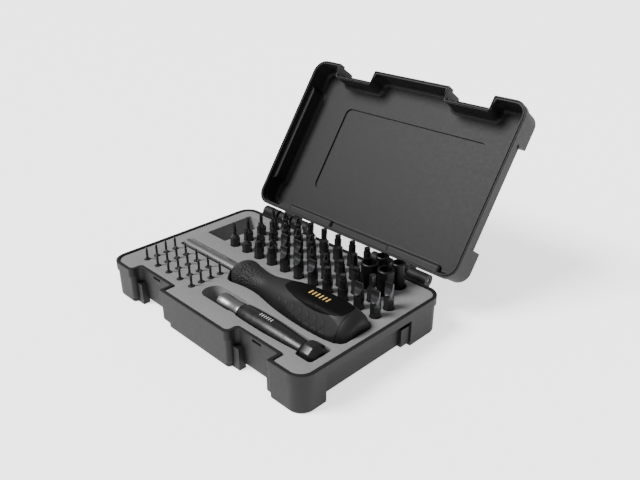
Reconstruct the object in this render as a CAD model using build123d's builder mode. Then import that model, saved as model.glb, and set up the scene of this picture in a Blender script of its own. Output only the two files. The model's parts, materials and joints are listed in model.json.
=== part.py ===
from build123d import *
from math import cos, hypot, radians, sin
import os

# Precision screwdriver set in a hinged case, in millimetres.
# +X runs along the case, +Y from the latches to the hinge, +Z up.
# The origin is the centre of the case's footprint, on the surface that it stands on.
# The lid stands open; its shapes are drawn as if it were closed, on planes turned about the hinge.

os.makedirs("parts", exist_ok=True)

# ---- case ----
CASE_W = 200.0
CASE_D = 130.2
CORNER_R = 11.0
RIM_Z = 27.2
BAND_H = 6.2
BAND_Z = RIM_Z - BAND_H
RIM_WALL = 2.4
FOOT_INSET = 1.0
WALL_INSET = 4.4
WALL = 2.0
FLOOR_Z = 3.0
FLOOR_TOP_Z = FLOOR_Z + 2.0
LEDGE_Z = BAND_Z + 1.8
FRONT_Y = -CASE_D / 2
BACK_Y = CASE_D / 2
BAYS = ((-73.0, -36.8), (35.3, 71.8))
BAY_DEPTH = 8.6
BAY_Y = FRONT_Y + BAY_DEPTH
BAY_RADII = (3.0, 1.2)
SHOULDER_W = 5.5
SHOULDER_LAP = 3.0
SHOULDER_D = 4.2
SHOULDER_TOP_Z = 16.0
SIDE_SHOULDER = (4.4, 9.0)
SIDE_SHOULDER_Y = 29.0
FOOT_EDGE_R = 1.4
RIM_EDGE_R = 0.5
FOOT_ZONES = (
    ((-CASE_W / 2, -70.0), (FRONT_Y, -44.0)),
    ((69.0, CASE_W / 2), (FRONT_Y, -44.0)),
    ((-CASE_W / 2, -72.0), (33.0, BACK_Y)),
    ((75.0, CASE_W / 2), (33.0, BACK_Y)),
    ((-29.0, 34.6), (FRONT_Y, FRONT_Y + 18.0)),
    ((-30.0, 30.0), (-18.0, 18.0)),
)

# ---- lid ----
RIM_GAP = 0.3
LID_RIM_Z = RIM_Z + RIM_GAP
OPEN_ANGLE = 124.8
LID_BAND_H = 6.0
LID_BAY_DEPTH = 10.6
LID_DEPTH = 20.3
LID_BLOCK_DEPTH = 23.0
LID_CAVITY = 17.7
LID_BLOCKS = ((76.0, FRONT_Y, -38.1), (73.0, 39.5, BACK_Y))
LID_BLOCK_CHAMFER = 1.2
LID_EDGE_R = 2.5
LID_WALL = 1.8
LID_BAY_R = 1.2
LID_WALL_BAY_R = 3.0
LID_HOLLOW_BAY_R = 4.0
LID_HOLLOW_EDGE_R = 3.0
LID_STEP_Y = (-43.0, 43.6)
LID_STEP_X = 77.7
LID_STEP_REACH = 17.0
LID_STEP_R = 3.6
LID_LEDGE = 4.2
LID_LAP = 3.0
GROOVE_W = 0.8
GROOVE_DEPTH = 0.9
GROOVE_INSET = 0.9
PANEL_MIDDLE = (5.25, 0.65)
PANEL_SIZE = (135.5, 71.7)
PANEL_STEP = 1.3
PANEL_R = 5.0
BULGES = ((-65.0, -16.5), (38.5, 86.0))
BULGE_HEIGHT = 4.7
BULGE_W = 5.4
BULGE_D = 5.7
BULGE_R = 2.2
BULGE_ROOT = 0.5

# ---- hinge ----
HINGE_Y = BACK_Y + 5.4
HINGE_Z = RIM_Z + RIM_GAP / 2
KNUCKLE_R = 4.4
WEB_LAP = 0.6
WEB_TOP = 0.35
WEB_ROUND = (3.0, 3.15)
WEB_DROP = 15.3
HINGE_PIN_R = 1.5
RUN_GAP = 0.06
BASE_KNUCKLES = ((33.5, 49.5), (67.5, 83.5))
LID_KNUCKLE = (52.5, 64.5)
HINGE_PIN_SPAN = (34.0, 83.0)

# ---- latches, drawn in the closed position ----
LATCH_PIVOT_Y = BACK_Y - 122.6
LATCH_PIVOT_Z = LID_RIM_Z + 14.0
LATCH_PIN_R = 1.0
LATCH_PIN_END = 1.6
LATCH_EYE_R = 2.3
LATCH_W = 31.0
LATCH_PROFILE = ((-2.1, 0.0), (0.3, 0.0), (0.3, -19.0), (-1.2, -24.0), (-3.6, -24.0), (-2.1, -18.0))
CATCH_X = (-52.7, 53.4)
CATCH_W = 8.0
CATCH_H = 1.9
CATCH_Z = 25.0
CATCH_DEPTH = 1.6
NIB_W = 7.2
NIB_PROFILE = ((0.0, 1.4), (0.0, -0.6), (2.1, -0.6), (2.1, 0.3))

# ---- foam insert ----
FOAM_TOP_Z = 26.2
FOAM_GAP = 0.2
POCKET_X = (-86.5, -64.5)
POCKET_Y = (11.7, 55.0)
POCKET_FLOOR_Z = 7.0
POCKET_R = 1.5
SCOOP_X = (-17.6, 20.0)
SCOOP_Y = (-47.6, -31.8)
SCOOP_R = 7.5
SCOOP_FLOOR_Z = 9.0

# ---- large driver, lying along X ----
DRIVER_Y = -8.5
DRIVER_Z = 24.1
SHANK_R = 4.7
SHANK_END_X = -84.0
SHANK_CHAMFER = 0.6
SHANK_SOCKET = 12.0
SOCKET_GAP = 0.08
SHANK_MAGNET_R = 2.6
MAGNET_T = 3.0
CORE_R = 6.2
CORE_X = (-16.0, 84.0)
CORE_BORE_END_X = 22.0
GRIP_X = (-24.7, 91.5)
GRIP_FRONT_R = 5.0
GRIP_WAIST = (
    (-23.4, 6.4), (-18.0, 10.3), (-13.6, 11.6), (-7.2, 10.5), (1.1, 9.3), (11.3, 9.4),
    (24.0, 11.7), (36.3, 13.8), (55.0, 15.5), (67.0, 15.8), (80.0, 15.2),
)
GRIP_BUTT = ((86.0, 14.0), (90.0, 11.5), (GRIP_X[1], 8.5))
GRIP_FLAT = 14.2
GRIP_FLAT_X = (20.0, 100.0)
GRIP_FLAT_W = 24.0
GRIP_LABEL_X = (47.0, 82.0)
GRIP_LABEL_W = 9.5
LABEL_T = 0.6
# the large driver's pocket in the foam has room for fingers on its near side
NEAR_GAP = 3.6
FAR_GAP = 0.6
GRIP_POCKET_FLOOR_Z = 8.0
SLOT_X0 = -86.0
SLOT_Y = (-14.2, -2.9)
SLOT_FLOOR_Z = 19.1

# ---- precision driver, lying along X ----
PEN_Y = -39.8
PEN_Z = 23.0
NOSE_X = (-1.5, 20.2)
NOSE_R = 6.2
NOSE_CHAMFER = 1.0
PEN_BODY = ((20.2, 6.0), (22.3, 6.0), (22.7, 7.0), (30.0, 7.4), (48.0, 7.6), (64.0, 6.8), (77.2, 5.7))
CAP = ((78.2, 7.2), (80.4, 8.5), (86.6, 8.5), (89.8, 6.0), (90.2, 0.0))
CAP_PIN_R = 1.6
CAP_PIN_X = (70.0, 86.0)
PEN_LABEL_X = (32.0, 57.0)
PEN_LABEL_W = 4.4
PEN_FLAT = 6.9
TENON_R = 4.2
TENON_L = 8.0
NOSE_SOCKET = 10.0
NOSE_SOCKET_GAP = 0.06
NOSE_MAGNET_R = 1.7
PEN_GAP = 0.8
PEN_POCKET = ((11.0, NOSE_R), (NOSE_X[1], NOSE_R), *PEN_BODY[2:], (78.5, 5.6))
PEN_POCKET_FLOOR_Z = 15.1
CAP_POCKET_X = (77.4, 91.0)
CAP_POCKET_W = 18.4
CAP_POCKET_R = 2.5
CAP_POCKET_FLOOR_Z = 14.2

# ---- bits ----
HEX_AF = 6.35
BIT_TOP = 18.5
BIT_LENGTH = 30.0
BIT_HEX_TOP = 9.0
BIT_HOLE_R = 3.85
FINE_HEX_TOP = 6.6
FINE_CONE = (2.8, 2.4, 28.0)
FINE_R = 1.3
FINE_BLADE = 0.7
FINE_BLADE_L = 3.0
WIDE_R = 3.1
WIDE_BLADE = 1.1
GRIND_R = 11.0
GRIND_L = 9.0
CROSS_R = 2.9
CROSS_BARREL = 4.2
CROSS_TAPER = 20.0
CROSS_FLUTE_L = 4.0
CROSS_FLUTE_AT = 2.3
CROSS_FLUTE_R = 1.35
HEX_TIP_AF = 4.0
HEX_CONE = (2.9, 1.6, 20.0)
STAR_R = 2.1
STAR_TIP = 3.4
STAR_SHAFT_R = 2.6
STAR_FLUTE_R = 0.55
BIT_X0 = -54.0
BIT_PITCH = 13.9
BIT_ROWS = ((13.5, "SSPPWWWTTWW"), (26.5, "SSSWWPPTTHW"), (39.5, "SSPPPHHH"), (52.5, "SPPHHTTT"))
SOCKET_SPOTS = [(BIT_X0 + BIT_PITCH * i, y) for y in (39.5, 52.5) for i in (8, 9)]
SOCKET_R = (6.0, 5.7, 4.7, 4.7)
SOCKET_AF = (9.0, 8.0, 7.0, 6.35)
SOCKET_TOP = 17.8
SOCKET_Z0 = 15.0
SOCKET_HEX_DEPTH = 10.0
SOCKET_HOLE_R = 6.3
MICRO_AF = 4.0
MICRO_TOP = 9.5
MICRO_LENGTH = 28.0
MICRO_SHAFT_R = 0.85
MICRO_COLLAR = 0.7
MICRO_TIP = 1.6
MICRO_TAPER = 15.0
MICRO_HOLE_R = 2.45
MICRO_X = [-81.1 + 13.6 * i for i in range(5)]
MICRO_Y = (-45.8, -37.8, -29.8, -21.8)


# ---- shared shapes ----
def outline(side, front, back, corner_r, bay_depth, bay_radii, inset):
    """Plan between x = +-side and y = front to back, with the two latch bays grown by inset.

    bay_radii rounds each bay's left and right corners.
    """
    bay_y = FRONT_Y + bay_depth + inset
    corners = [(-side, front)]
    for x0, x1 in BAYS:
        corners += [(x0 - inset, front), (x0 - inset, bay_y), (x1 + inset, bay_y), (x1 + inset, front)]
    corners += [(side, front), (side, back), (-side, back)]
    with BuildSketch() as plan:
        with BuildLine():
            Polyline(corners, close=True)
        make_face()
        for end, radius in enumerate(bay_radii):
            places = [bay[end] + inset * (2 * end - 1) for bay in BAYS]
            fillet(plan.vertices().filter_by(lambda v: min(abs(v.X - x) for x in places) < 0.01), radius)
        fillet(plan.vertices().filter_by(lambda v: abs(v.X) > side - 1), corner_r)
    return plan.sketch


def rim_outline(inset, bay_depth=BAY_DEPTH, bay_radii=BAY_RADII):
    """Plan of the rim pulled in by inset all round."""
    return outline(
        CASE_W / 2 - inset,
        FRONT_Y + inset,
        BACK_Y - inset,
        CORNER_R - inset,
        bay_depth,
        bay_radii,
        inset,
    )


def wall_outline(inset, bay_depth=BAY_DEPTH, bay_radii=BAY_RADII):
    """Plan of the walls that step in between the corner blocks, pulled in by inset."""
    return outline(
        CASE_W / 2 - WALL_INSET - inset,
        FRONT_Y + FOOT_INSET + inset,
        BACK_Y - WALL_INSET - inset,
        CORNER_R - 2.0 - inset,
        bay_depth,
        bay_radii,
        inset,
    )


# plans of the base and its foam
RIM_PLAN = rim_outline(0)
RIM_CAVITY_PLAN = rim_outline(RIM_WALL)
FOOT_PLAN = rim_outline(FOOT_INSET)
WALL_PLAN = wall_outline(0)
BASE_CAVITY_PLAN = wall_outline(WALL)
FOAM_UPPER_PLAN = rim_outline(RIM_WALL + FOAM_GAP)
FOAM_LOWER_PLAN = wall_outline(WALL + FOAM_GAP)

# plans of the lid
LID_RADII = (LID_BAY_R, LID_BAY_R)
HOLLOW_RADII = (LID_HOLLOW_BAY_R, LID_HOLLOW_BAY_R)
LID_RIM_PLAN = rim_outline(0, LID_BAY_DEPTH, LID_RADII)
LID_RIM_CAVITY_PLAN = rim_outline(RIM_WALL, LID_BAY_DEPTH, LID_RADII)
LID_BLOCK_PLAN = rim_outline(FOOT_INSET, LID_BAY_DEPTH, LID_RADII)
LID_WALL_PLAN = wall_outline(0, LID_BAY_DEPTH, (LID_WALL_BAY_R, LID_WALL_BAY_R))
LID_CAVITY_PLAN = wall_outline(LID_WALL, LID_BAY_DEPTH, HOLLOW_RADII)
LID_BLOCK_CAVITY_PLAN = rim_outline(FOOT_INSET + LID_WALL, LID_BAY_DEPTH, HOLLOW_RADII)
GROOVE_OUTER_PLAN = rim_outline(GROOVE_INSET, LID_BAY_DEPTH, LID_RADII)
GROOVE_INNER_PLAN = rim_outline(GROOVE_INSET + GROOVE_W, LID_BAY_DEPTH, LID_RADII)


def turned(y, z, angle):
    """A direction in the YZ plane turned about X."""
    a = radians(angle)
    return y * cos(a) - z * sin(a), y * sin(a) + z * cos(a)


def opened(y, z):
    """Where a point of the closed lid stands when the lid is open."""
    dy, dz = turned(y - HINGE_Y, z - HINGE_Z, -OPEN_ANGLE)
    return HINGE_Y + dy, HINGE_Z + dz


def lid_plane(height):
    """A plane parallel to the lid's rim, height further out; its axes are the closed case's X and Y."""
    return Plane(
        origin=(0, *opened(0, LID_RIM_Z + height)),
        x_dir=(1, 0, 0),
        z_dir=(0, *turned(0, 1, -OPEN_ANGLE)),
    )


def section(x, y, z, angle=0.0):
    """A YZ section plane at x whose local origin is (y, z), turned about X by angle."""
    return Plane(origin=(x, y, z), x_dir=(0, *turned(1, 0, angle)), z_dir=(1, 0, 0))


def knuckle_profile(rise):
    """A hinge knuckle with its web to the wall; rise is -1 for the base's, +1 for the lid's."""
    wall_y = BACK_Y - WALL_INSET - WEB_LAP - HINGE_Y
    rim = rise * WEB_TOP
    out_y, out_z = WEB_ROUND
    Circle(KNUCKLE_R)
    Polygon((wall_y, rim), (0, rim), (out_y, rise * out_z), (wall_y, rise * WEB_DROP), align=None)


def lathe_profile(points, z):
    """The upper half of a turned piece along X from (x, radius) points."""
    rim = [(x, z + r) for x, r in points if r > 0]
    Polygon(*rim, (points[-1][0], z), (rim[0][0], z), align=None)


def rows_of(kind):
    """The spots of the insert bits of one kind."""
    return [
        (BIT_X0 + BIT_PITCH * i, y)
        for y, kinds in BIT_ROWS
        for i, here in enumerate(kinds)
        if here == kind
    ]


# ---- case base ----
with BuildPart() as case_base:
    with BuildSketch(Plane.XY.offset(FLOOR_Z)):
        add(WALL_PLAN)
    extrude(amount=RIM_Z - FLOOR_Z)
    fillet(case_base.edges().group_by(Axis.Z)[0], FOOT_EDGE_R)
    with BuildSketch():
        for (x0, x1), (y0, y1) in FOOT_ZONES:
            with Locations(((x0 + x1) / 2, (y0 + y1) / 2)):
                Rectangle(x1 - x0, y1 - y0)
        add(FOOT_PLAN, mode=Mode.INTERSECT)
    extrude(amount=RIM_Z)
    fillet(case_base.edges().group_by(Axis.Z)[0], FOOT_EDGE_R)
    with BuildSketch():
        for x0, x1 in BAYS:
            inward = (SHOULDER_W - SHOULDER_LAP) / 2
            for x in (x0 + inward, x1 - inward):
                with Locations((x, BAY_Y - (SHOULDER_D - WALL / 2) / 2)):
                    Rectangle(SHOULDER_W + SHOULDER_LAP, SHOULDER_D + WALL / 2)
    extrude(amount=SHOULDER_TOP_Z)
    with BuildSketch(Plane.XY.offset(FLOOR_Z)):
        for side in (-1, 1):
            with Locations((side * (CASE_W / 2 - WALL_INSET), SIDE_SHOULDER_Y)):
                Rectangle(*SIDE_SHOULDER)
    extrude(amount=SHOULDER_TOP_Z - FLOOR_Z)
    with BuildSketch(Plane.XY.offset(BAND_Z)):
        add(RIM_PLAN)
    extrude(amount=BAND_H)
    fillet(case_base.edges().group_by(Axis.Z)[-1], RIM_EDGE_R)
    for side in (-1, 1):
        for x0, x1 in BASE_KNUCKLES:
            with BuildSketch(section(min(side * x0, side * x1), HINGE_Y, HINGE_Z)):
                knuckle_profile(-1)
                Circle(HINGE_PIN_R, mode=Mode.SUBTRACT)
            extrude(amount=x1 - x0)
    with BuildSketch(Plane.XY.offset(LEDGE_Z)):
        add(RIM_CAVITY_PLAN)
    extrude(amount=RIM_Z - LEDGE_Z, mode=Mode.SUBTRACT)
    with BuildSketch(Plane.XY.offset(FLOOR_TOP_Z)):
        add(BASE_CAVITY_PLAN)
    extrude(amount=LEDGE_Z - FLOOR_TOP_Z, mode=Mode.SUBTRACT)
    with BuildSketch(Plane.XZ.offset(-BAY_Y)):
        for x in CATCH_X:
            with Locations((x, CATCH_Z)):
                Rectangle(CATCH_W, CATCH_H)
    extrude(amount=-CATCH_DEPTH, mode=Mode.SUBTRACT)

# ---- case lid ----
LID_AXIS = Axis((0, *opened(0, LID_RIM_Z)), (0, *turned(0, 1, -OPEN_ANGLE)))
with BuildSketch() as lid_blocks:
    for side in (-1, 1):
        for x, y0, y1 in LID_BLOCKS:
            with Locations((side * (x + CASE_W / 2) / 2, (y0 + y1) / 2)):
                Rectangle(CASE_W / 2 - x, y1 - y0)
    add(LID_BLOCK_PLAN, mode=Mode.INTERSECT)

# the hollow widens into each corner block over a slope of 45 degrees
HOLLOW_SIDE = CASE_W / 2 - FOOT_INSET - LID_WALL
HOLLOW_BACK = BACK_Y - FOOT_INSET - LID_WALL
STEP = WALL_INSET - FOOT_INSET
OUTSIDE = 3.0
step_front, step_back = LID_STEP_Y
with BuildSketch() as block_hollows:
    for side in (-1, 1):
        Polygon(
            (side * (HOLLOW_SIDE + OUTSIDE), FRONT_Y),
            (side * (HOLLOW_SIDE - LID_STEP_REACH), FRONT_Y),
            (side * (HOLLOW_SIDE - LID_STEP_REACH), step_front + LID_STEP_REACH),
            (side * (HOLLOW_SIDE + OUTSIDE), step_front - OUTSIDE),
            align=None,
        )
        Polygon(
            (side * (HOLLOW_SIDE + OUTSIDE), HOLLOW_BACK + OUTSIDE),
            (side * (LID_STEP_X + OUTSIDE), HOLLOW_BACK + OUTSIDE),
            (side * (LID_STEP_X - STEP), HOLLOW_BACK - STEP),
            (side * (LID_STEP_X - STEP), step_back - LID_STEP_REACH),
            (side * (HOLLOW_SIDE - LID_STEP_REACH), step_back - LID_STEP_REACH),
            (side * (HOLLOW_SIDE + OUTSIDE), step_back + OUTSIDE),
            align=None,
        )
    add(LID_BLOCK_CAVITY_PLAN, mode=Mode.INTERSECT)
step_spots = [
    (side * x, y)
    for side in (-1, 1)
    for x, y in (
        (HOLLOW_SIDE, step_front),
        (HOLLOW_SIDE - STEP, step_front + STEP),
        (HOLLOW_SIDE, step_back),
        (HOLLOW_SIDE - STEP, step_back - STEP),
        (LID_STEP_X, HOLLOW_BACK),
        (LID_STEP_X - STEP, HOLLOW_BACK - STEP),
    )
]
with BuildSketch() as hollow_plan:
    add(LID_CAVITY_PLAN)
    add(block_hollows.sketch)
    steps = [
        corner
        for corner in hollow_plan.vertices()
        if min(hypot(corner.X - x, corner.Y - y) for x, y in step_spots) < 0.01
    ]
    fillet(steps, LID_STEP_R)
with BuildPart() as lid_hollow:
    with BuildSketch(lid_plane(0)):
        add(hollow_plan.sketch)
    extrude(amount=LID_CAVITY)
    fillet(lid_hollow.edges().group_by(LID_AXIS)[-1], LID_HOLLOW_EDGE_R)

back_wall = Plane(
    origin=(0, *opened(BACK_Y - RIM_WALL + BULGE_ROOT, LID_RIM_Z + BULGE_HEIGHT)),
    x_dir=(1, 0, 0),
    z_dir=(0, *turned(-1, 0, -OPEN_ANGLE)),
)
bulge_axis = Axis(back_wall.origin, back_wall.z_dir)
with BuildPart() as lid_bars:
    with BuildSketch(back_wall):
        for x0, x1 in BULGES:
            with Locations(((x0 + x1) / 2, 0)):
                SlotOverall(x1 - x0, BULGE_W)
    extrude(amount=BULGE_D)
    fillet(lid_bars.edges().group_by(bulge_axis)[-1], BULGE_R)

with BuildPart() as case_lid:
    with BuildSketch(lid_plane(0)):
        add(LID_RIM_PLAN)
    extrude(amount=LID_BAND_H)
    fillet(case_lid.edges().group_by(LID_AXIS)[0], RIM_EDGE_R)
    with BuildSketch(lid_plane(LID_LAP)):
        add(LID_WALL_PLAN)
    extrude(amount=LID_DEPTH - LID_LAP)
    fillet(case_lid.edges().group_by(LID_AXIS)[-1], LID_EDGE_R)
    with BuildSketch(lid_plane(LID_LAP)):
        add(lid_blocks.sketch)
    extrude(amount=LID_BLOCK_DEPTH - LID_LAP)
    chamfer(case_lid.edges().group_by(LID_AXIS)[-1], LID_BLOCK_CHAMFER)
    for side in (-1, 1):
        x0, x1 = LID_KNUCKLE
        with BuildSketch(section(min(side * x0, side * x1), HINGE_Y, HINGE_Z, -OPEN_ANGLE)):
            knuckle_profile(1)
        extrude(amount=x1 - x0)
        with BuildSketch(section(min(side * x0, side * x1) - 1, HINGE_Y, HINGE_Z)):
            Circle(HINGE_PIN_R + RUN_GAP)
        extrude(amount=x1 - x0 + 2, mode=Mode.SUBTRACT)
    with BuildSketch(lid_plane(0)):
        add(LID_RIM_CAVITY_PLAN)
    extrude(amount=LID_LEDGE, mode=Mode.SUBTRACT)
    add(lid_hollow.part, mode=Mode.SUBTRACT)
    with BuildSketch(lid_plane(LID_CAVITY)):
        with Locations(PANEL_MIDDLE):
            RectangleRounded(*PANEL_SIZE, PANEL_R)
    extrude(amount=PANEL_STEP, mode=Mode.SUBTRACT)
    with BuildSketch(lid_plane(0)):
        add(GROOVE_OUTER_PLAN)
        add(GROOVE_INNER_PLAN, mode=Mode.SUBTRACT)
    extrude(amount=GROOVE_DEPTH, mode=Mode.SUBTRACT)
    add(lid_bars.part)
    for x0, x1 in BAYS:
        with BuildSketch(section(x0 - LATCH_PIN_END, *opened(LATCH_PIVOT_Y, LATCH_PIVOT_Z))):
            Circle(LATCH_PIN_R)
        extrude(amount=x1 - x0 + 2 * LATCH_PIN_END, mode=Mode.SUBTRACT)

# ---- hinge pins ----
hinge_pins = {}
for name, side in (("hinge_pin_left", -1), ("hinge_pin_right", 1)):
    x0 = min(side * HINGE_PIN_SPAN[0], side * HINGE_PIN_SPAN[1])
    with BuildPart() as pin:
        with BuildSketch(section(x0, HINGE_Y, HINGE_Z)):
            Circle(HINGE_PIN_R)
        extrude(amount=HINGE_PIN_SPAN[1] - HINGE_PIN_SPAN[0])
        chamfer(pin.edges(), 0.3)
    hinge_pins[name] = pin

# ---- latches: plates on pins across the lid's bays, folded back against them ----
latches = {}
latch_pins = {}
pivot_y, pivot_z = opened(LATCH_PIVOT_Y, LATCH_PIVOT_Z)
for name, (x0, x1), catch_x in zip(("left", "right"), BAYS, CATCH_X):
    middle = (x0 + x1) / 2
    folded = section(middle - LATCH_W / 2, pivot_y, pivot_z, 180.0 - OPEN_ANGLE)
    with BuildPart() as latch:
        with BuildSketch(folded):
            Circle(LATCH_EYE_R)
            Polygon(*LATCH_PROFILE, align=None)
            Circle(LATCH_PIN_R + RUN_GAP, mode=Mode.SUBTRACT)
        extrude(amount=LATCH_W)
        with BuildSketch(section(catch_x - NIB_W / 2, pivot_y, pivot_z, 180.0 - OPEN_ANGLE)):
            Polygon(*[(y, z + CATCH_Z - LATCH_PIVOT_Z) for y, z in NIB_PROFILE], align=None)
        extrude(amount=NIB_W)
    latches["latch_" + name] = latch
    with BuildPart() as latch_pin:
        with BuildSketch(section(x0 - LATCH_PIN_END, pivot_y, pivot_z)):
            Circle(LATCH_PIN_R)
        extrude(amount=x1 - x0 + 2 * LATCH_PIN_END)
    latch_pins["latch_pin_" + name] = latch_pin

# ---- large driver ----
DRIVER_AXIS = Axis((0, DRIVER_Y, DRIVER_Z), (1, 0, 0))
with BuildPart() as driver_grip:
    with BuildSketch(Plane.XZ.offset(-DRIVER_Y)):
        with BuildLine():
            waist = Spline([(x, DRIVER_Z + r) for x, r in GRIP_WAIST])
            Polyline(
                waist @ 1,
                *[(x, DRIVER_Z + r) for x, r in GRIP_BUTT],
                (GRIP_X[1], DRIVER_Z),
                (GRIP_X[0], DRIVER_Z),
                (GRIP_X[0], DRIVER_Z + GRIP_FRONT_R),
                waist @ 0,
            )
        make_face()
    revolve(axis=DRIVER_AXIS)
    for angle in range(0, 360, 60):
        flat = Plane(
            origin=(0, DRIVER_Y, DRIVER_Z), x_dir=(1, 0, 0), z_dir=(0, *turned(0, 1, angle))
        )
        with BuildSketch(flat.offset(GRIP_FLAT)):
            with Locations((sum(GRIP_FLAT_X) / 2, 0)):
                Rectangle(GRIP_FLAT_X[1] - GRIP_FLAT_X[0], GRIP_FLAT_W)
        extrude(amount=GRIP_FLAT, mode=Mode.SUBTRACT)
    with BuildSketch(Plane.XY.offset(DRIVER_Z + GRIP_FLAT)):
        with Locations((sum(GRIP_LABEL_X) / 2, DRIVER_Y)):
            SlotOverall(GRIP_LABEL_X[1] - GRIP_LABEL_X[0], GRIP_LABEL_W)
    extrude(amount=-LABEL_T / 2, mode=Mode.SUBTRACT)
    with BuildSketch(section(CORE_X[0], DRIVER_Y, DRIVER_Z)):
        Circle(CORE_R)
    extrude(amount=CORE_X[1] - CORE_X[0], mode=Mode.SUBTRACT)
    with BuildSketch(section(GRIP_X[0] - 1, DRIVER_Y, DRIVER_Z)):
        Circle(SHANK_R)
    extrude(amount=CORE_X[0] - GRIP_X[0] + 1, mode=Mode.SUBTRACT)

with BuildPart() as driver_label_plate:
    with BuildSketch(Plane.XY.offset(DRIVER_Z + GRIP_FLAT - LABEL_T / 2)):
        with Locations((sum(GRIP_LABEL_X) / 2, DRIVER_Y)):
            SlotOverall(GRIP_LABEL_X[1] - GRIP_LABEL_X[0], GRIP_LABEL_W)
    extrude(amount=LABEL_T)

with BuildPart() as driver_core:
    with BuildSketch(section(CORE_X[0], DRIVER_Y, DRIVER_Z)):
        Circle(CORE_R)
    extrude(amount=CORE_X[1] - CORE_X[0])
    with BuildSketch(section(CORE_X[0], DRIVER_Y, DRIVER_Z)):
        Circle(SHANK_R)
    extrude(amount=CORE_BORE_END_X - CORE_X[0], mode=Mode.SUBTRACT)

with BuildPart() as driver_shank:
    with BuildSketch(section(SHANK_END_X, DRIVER_Y, DRIVER_Z)):
        Circle(SHANK_R)
    extrude(amount=CORE_BORE_END_X - SHANK_END_X)
    chamfer(driver_shank.edges(), SHANK_CHAMFER)
    with BuildSketch(section(SHANK_END_X, DRIVER_Y, DRIVER_Z)):
        RegularPolygon(HEX_AF / 2 + SOCKET_GAP, 6, major_radius=False)
    extrude(amount=SHANK_SOCKET, mode=Mode.SUBTRACT)
    with BuildSketch(section(SHANK_END_X + SHANK_SOCKET, DRIVER_Y, DRIVER_Z)):
        Circle(SHANK_MAGNET_R)
    extrude(amount=MAGNET_T, mode=Mode.SUBTRACT)

with BuildPart() as driver_magnet:
    with BuildSketch(section(SHANK_END_X + SHANK_SOCKET, DRIVER_Y, DRIVER_Z)):
        Circle(SHANK_MAGNET_R)
    extrude(amount=MAGNET_T)

# ---- precision driver ----
PEN_AXIS = Axis((0, PEN_Y, PEN_Z), (1, 0, 0))
with BuildPart() as precision_nose:
    with BuildSketch(section(NOSE_X[0], PEN_Y, PEN_Z)):
        Circle(NOSE_R)
    extrude(amount=NOSE_X[1] - NOSE_X[0])
    chamfer(precision_nose.edges().group_by(Axis.X)[0], NOSE_CHAMFER)
    with BuildSketch(section(NOSE_X[1], PEN_Y, PEN_Z)):
        Circle(TENON_R)
    extrude(amount=TENON_L)
    with BuildSketch(section(NOSE_X[0], PEN_Y, PEN_Z)):
        RegularPolygon(MICRO_AF / 2 + NOSE_SOCKET_GAP, 6, major_radius=False)
    extrude(amount=NOSE_SOCKET, mode=Mode.SUBTRACT)
    with BuildSketch(section(NOSE_X[0] + NOSE_SOCKET, PEN_Y, PEN_Z)):
        Circle(NOSE_MAGNET_R)
    extrude(amount=MAGNET_T, mode=Mode.SUBTRACT)

with BuildPart() as precision_magnet:
    with BuildSketch(section(NOSE_X[0] + NOSE_SOCKET, PEN_Y, PEN_Z)):
        Circle(NOSE_MAGNET_R)
    extrude(amount=MAGNET_T)

with BuildPart() as precision_body:
    with BuildSketch(Plane.XZ.offset(-PEN_Y)):
        lathe_profile(PEN_BODY, PEN_Z)
    revolve(axis=PEN_AXIS)
    with BuildSketch(section(NOSE_X[1], PEN_Y, PEN_Z)):
        Circle(TENON_R)
    extrude(amount=TENON_L, mode=Mode.SUBTRACT)
    with BuildSketch(section(CAP_PIN_X[0], PEN_Y, PEN_Z)):
        Circle(CAP_PIN_R)
    extrude(amount=CAP_PIN_X[1] - CAP_PIN_X[0], mode=Mode.SUBTRACT)
    with BuildSketch(Plane.XY.offset(PEN_Z + PEN_FLAT)):
        with Locations((sum(PEN_LABEL_X) / 2, PEN_Y)):
            Rectangle(PEN_LABEL_X[1] - PEN_LABEL_X[0] + 2, 2 * PEN_FLAT)
    extrude(amount=PEN_FLAT, mode=Mode.SUBTRACT)

with BuildPart() as precision_label_plate:
    with BuildSketch(Plane.XY.offset(PEN_Z + PEN_FLAT)):
        with Locations((sum(PEN_LABEL_X) / 2, PEN_Y)):
            SlotOverall(PEN_LABEL_X[1] - PEN_LABEL_X[0], PEN_LABEL_W)
    extrude(amount=LABEL_T / 2)

with BuildPart() as precision_cap_pin:
    with BuildSketch(section(CAP_PIN_X[0], PEN_Y, PEN_Z)):
        Circle(CAP_PIN_R)
    extrude(amount=CAP_PIN_X[1] - CAP_PIN_X[0])

with BuildPart() as precision_cap:
    with BuildSketch(Plane.XZ.offset(-PEN_Y)):
        lathe_profile(CAP, PEN_Z)
    revolve(axis=PEN_AXIS)
    with BuildSketch(section(CAP[0][0], PEN_Y, PEN_Z)):
        Circle(CAP_PIN_R + RUN_GAP)
    extrude(amount=CAP_PIN_X[1] - CAP[0][0] + 0.4, mode=Mode.SUBTRACT)


# ---- insert bits ----
def hexagons(spots, z, across):
    """Hexagons at height z over the spots."""
    with BuildSketch(Plane.XY.offset(z)) as hexes:
        with Locations(*spots):
            RegularPolygon(across / 2, 6, major_radius=False)
    return hexes.sketch


def discs(spots, z, radius):
    """Discs at height z over the spots."""
    with BuildSketch(Plane.XY.offset(z)) as round_ones:
        with Locations(*spots):
            Circle(radius)
    return round_ones.sketch


BIT_Z0 = FOAM_TOP_Z + BIT_TOP - BIT_LENGTH
SHOULDER_Z = FOAM_TOP_Z + BIT_HEX_TOP
FINE_SHOULDER_Z = FOAM_TOP_Z + FINE_HEX_TOP
TIP_Z = FOAM_TOP_Z + BIT_TOP

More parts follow.
